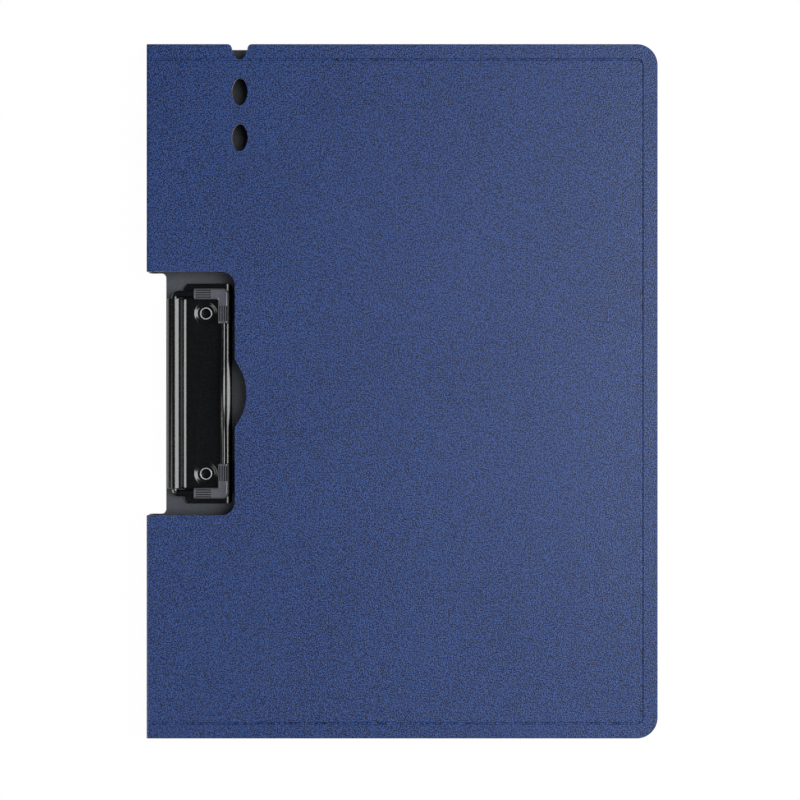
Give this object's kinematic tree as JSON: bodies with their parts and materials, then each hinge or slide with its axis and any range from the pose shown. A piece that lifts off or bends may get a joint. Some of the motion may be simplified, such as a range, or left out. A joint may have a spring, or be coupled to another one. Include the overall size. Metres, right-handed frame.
{
  "type": "folding clipboard",
  "caption": "Folding clipboard with stiffened covers creased at the spine, a sprung wire bail clip inside, a cut-out over the clip and a pen slot in the front cover.",
  "frame": {"origin": "middle of the closed folder's footprint, on the back cover's outer face that it rests on", "axes": "+X from the spine to the free edge, +Y up the page to the edge with the pen notch, +Z out of the back cover towards the front cover"},
  "size_m": [0.232, 0.315, 0.014],
  "materials": {
    "cover_sheet": "fine sand grain",
    "lining_sheet": "fine grain",
    "stiffener_board": "grey board",
    "clip_steel": "glossy black coat",
    "sleeve_plastic": "moulded, satin, with fine grip grooves"
  },
  "bodies": {
    "back_cover": {"back_cover_skin": "cover_sheet", "back_cover_board": "stiffener_board", "back_cover_lining": "lining_sheet", "clip_base_plate": "clip_steel", "clip_rivet_upper": "clip_steel", "clip_rivet_lower": "clip_steel"},
    "spine": {"spine_skin_upper": "cover_sheet", "spine_skin_lower": "cover_sheet", "spine_lining_upper": "lining_sheet", "spine_lining_lower": "lining_sheet"},
    "front_cover": {"front_cover_skin": "cover_sheet", "front_cover_board": "stiffener_board", "front_cover_lining": "lining_sheet"},
    "wire_bail": {"clip_wire": "clip_steel", "corner_sleeve_upper": "sleeve_plastic", "corner_sleeve_lower": "sleeve_plastic"}
  },
  "joints": [
    {"name": "back_crease", "type": "hinge", "parent": "back_cover", "child": "spine", "pos_m": [-0.1153, 0, 0.0007], "axis": [0, -1, 0], "range_deg": [0, 180]},
    {"name": "front_crease", "type": "hinge", "parent": "spine", "child": "front_cover", "pos_m": [-0.1153, 0, 0.0133], "axis": [0, -1, 0], "range_deg": [0, 180]},
    {"name": "bail_swing", "type": "hinge", "parent": "back_cover", "child": "wire_bail", "pos_m": [-0.1041, -0.001, 0.0068], "axis": [0, -1, 0], "range_deg": [0, 100], "stiffness_Nm_per_rad": 0.12, "springref_deg": -45.84}
  ]
}
